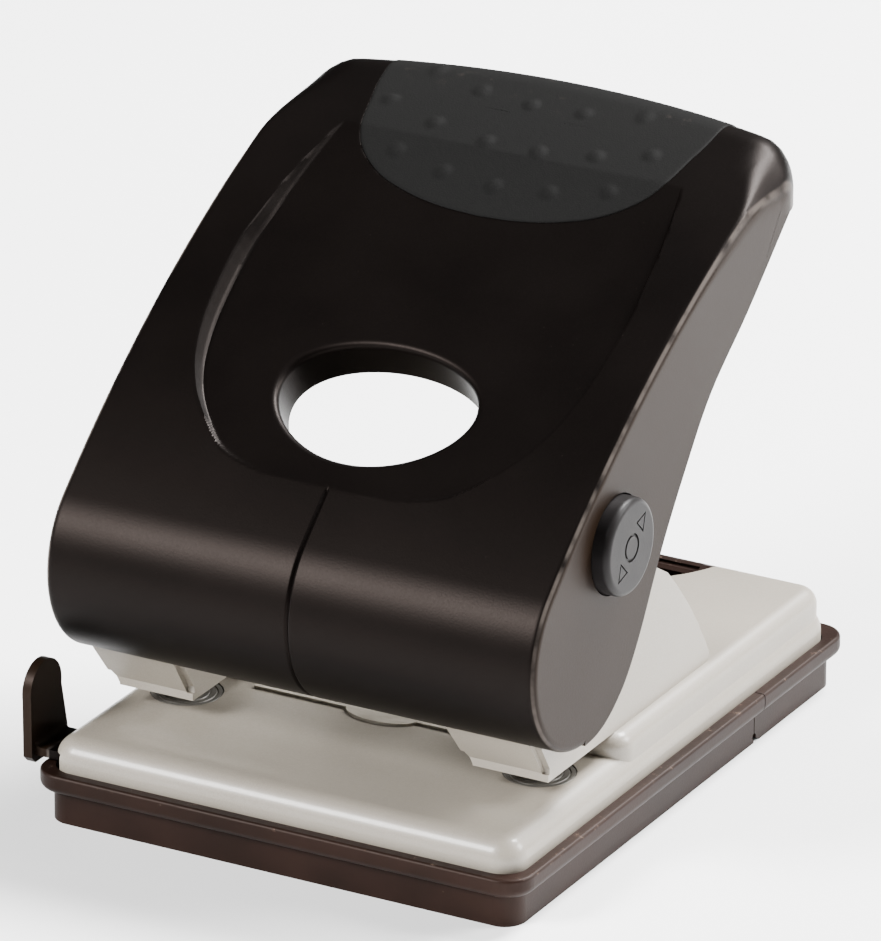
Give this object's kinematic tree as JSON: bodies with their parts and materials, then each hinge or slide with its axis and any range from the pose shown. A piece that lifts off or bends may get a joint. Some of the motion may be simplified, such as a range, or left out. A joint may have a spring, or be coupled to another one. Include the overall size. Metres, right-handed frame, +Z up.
{
  "type": "two-hole desktop hole punch",
  "caption": "Desktop paper punch: a hollow hinged handle drives two punches through a pressed plate into a chip tray with a rear emptying door and a sliding paper stop.",
  "frame": {"origin": "on the tray's flat underside, below the midpoint between the two dies", "axes": "+X to the right along the line of the two holes, +Y to the back where the handle rises, +Z up from the table"},
  "size_m": [0.1172, 0.141, 0.1262],
  "materials": {
    "cover_plastic": "fine-grained satin, near black with a warm brown sheen",
    "grip_rubber": "matt soft grip with small raised dots",
    "button_plastic": "satin warm grey",
    "tray_plastic": "satin dark brown, worn pale at the rim's edges",
    "enamel": "satin cream-grey enamel",
    "guide_plastic": "satin black",
    "die_steel": "dull grey, concentric turning marks",
    "strip_plastic": "grey-tan fibre",
    "bright_steel": "ground",
    "spring_steel": "drawn",
    "fastener_steel": "zinc plated"
  },
  "bodies": {
    "base": {"tray_front": "tray_plastic", "base_plate": "enamel", "die_left": "die_steel", "die_right": "die_steel", "bracket_left": "enamel", "bracket_right": "enamel", "upper_guide_left": "bright_steel", "upper_guide_right": "bright_steel", "paper_rest": "strip_plastic", "bracket_rivets": "fastener_steel", "tray_screws": "fastener_steel", "clinch_nuts": "fastener_steel", "axle": "bright_steel", "axle_clips": "spring_steel", "guide_spring": "spring_steel", "door_hinge_pin": "bright_steel", "return_spring_left": "spring_steel", "return_spring_right": "spring_steel"},
    "handle": {"handle_cover": "cover_plastic", "grip_pad": "grip_rubber", "lever": "bright_steel", "lever_screws": "fastener_steel", "press_bar": "bright_steel"},
    "button": {"lock_button": "button_plastic", "lock_pin": "bright_steel"},
    "left_punch": {"punch_left": "bright_steel", "spring_washer_left": "spring_steel"},
    "right_punch": {"punch_right": "bright_steel", "spring_washer_right": "spring_steel"},
    "guide": {"paper_guide": "guide_plastic"},
    "door": {"chip_door": "tray_plastic"}
  },
  "joints": [
    {"name": "handle_swing", "type": "hinge", "parent": "base", "child": "handle", "pos_m": [0, -0.014, 0.052], "axis": [-1, 0, 0], "range_deg": [0, 34], "stiffness_Nm_per_rad": 1.2, "springref_deg": -20.05},
    {"name": "left_punch_stroke", "type": "slide", "parent": "base", "child": "left_punch", "axis": [0, 0, -1], "range_m": [-0.00005, 0.0084], "deforming": ["return_spring_left"]},
    {"name": "right_punch_stroke", "type": "slide", "parent": "base", "child": "right_punch", "axis": [0, 0, -1], "range_m": [-0.00005, 0.0084], "deforming": ["return_spring_right"]},
    {"name": "lock_push", "type": "slide", "parent": "handle", "child": "button", "axis": [-1, 0, 0], "range_m": [0, 0.0025]},
    {"name": "guide_slide", "type": "slide", "parent": "base", "child": "guide", "axis": [-1, 0, 0], "range_m": [0, 0.09]},
    {"name": "door_swing", "type": "hinge", "parent": "base", "child": "door", "pos_m": [0, 0.067, 0.0013], "axis": [-1, 0, 0], "range_deg": [0, 60]}
  ],
  "couplings": [
    {"joint": "left_punch_stroke", "follows": "handle_swing", "m_per_rad": 0.013818},
    {"joint": "right_punch_stroke", "follows": "handle_swing", "m_per_rad": 0.013818}
  ]
}
